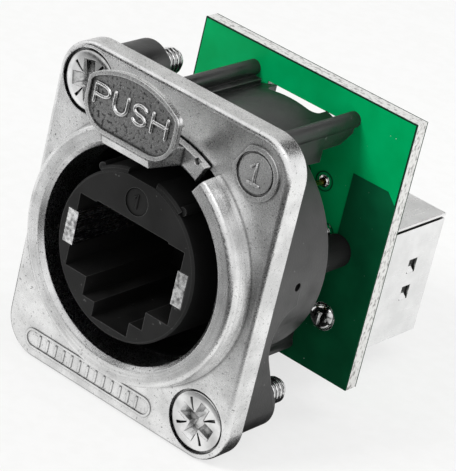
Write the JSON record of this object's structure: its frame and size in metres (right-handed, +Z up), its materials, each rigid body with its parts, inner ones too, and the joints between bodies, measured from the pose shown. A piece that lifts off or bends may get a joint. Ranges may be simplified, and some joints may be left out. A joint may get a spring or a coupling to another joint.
{
  "type": "panel mount network socket",
  "caption": "Panel mount network socket with a metal flange, a latching ring and push tab, a keyed plug mouth, a circuit board on rods and a shielded rear jack.",
  "frame": {"origin": "on the plug axis, in the plane of the flange's rear face, which is the plane of the panel's front", "axes": "+Y along the plug axis from the front of the panel to the rear, +Z up towards the push tab, +X to the right as seen from the front"},
  "size_m": [0.026, 0.0412, 0.0329],
  "materials": {
    "nickel_casting": "satin nickel on a die casting",
    "steel": "drawn wire",
    "screw_steel": "bright zinc plated",
    "core_plastic": "satin moulding",
    "housing_plastic": "satin moulding",
    "jack_plastic": "moulded",
    "contact_alloy": "gold flash",
    "tinned_sheet": "bright tin on rolled sheet",
    "laminate": "solder mask on glass cloth laminate",
    "solder": "reflowed solder"
  },
  "bodies": {
    "socket": {"front_flange": "nickel_casting", "latch_pin": "steel", "latch_spring": "steel", "socket_core": "core_plastic", "shield_spring_left": "tinned_sheet", "shield_spring_right": "tinned_sheet", "rear_housing": "housing_plastic", "flange_screws": "screw_steel", "circuit_board": "laminate", "rear_jack_shield": "tinned_sheet", "rear_jack_housing": "jack_plastic", "front_solder": "solder", "rear_solder": "solder", "front_contact_1": "contact_alloy", "front_contact_2": "contact_alloy", "front_contact_3": "contact_alloy", "front_contact_4": "contact_alloy", "front_contact_5": "contact_alloy", "front_contact_6": "contact_alloy", "front_contact_7": "contact_alloy", "front_contact_8": "contact_alloy", "rear_contact_1": "contact_alloy", "rear_contact_2": "contact_alloy", "rear_contact_3": "contact_alloy", "rear_contact_4": "contact_alloy", "rear_contact_5": "contact_alloy", "rear_contact_6": "contact_alloy", "rear_contact_7": "contact_alloy", "rear_contact_8": "contact_alloy"},
    "latch": {"push_latch": "nickel_casting"}
  },
  "joints": [
    {"name": "latch_press", "type": "hinge", "parent": "socket", "child": "latch", "pos_m": [0, -0.0011, 0.0101], "axis": [1, 0, 0], "range_deg": [0, 8], "stiffness_Nm_per_rad": 0.06, "springref_deg": -14.32, "deforming": ["latch_spring"]}
  ]
}
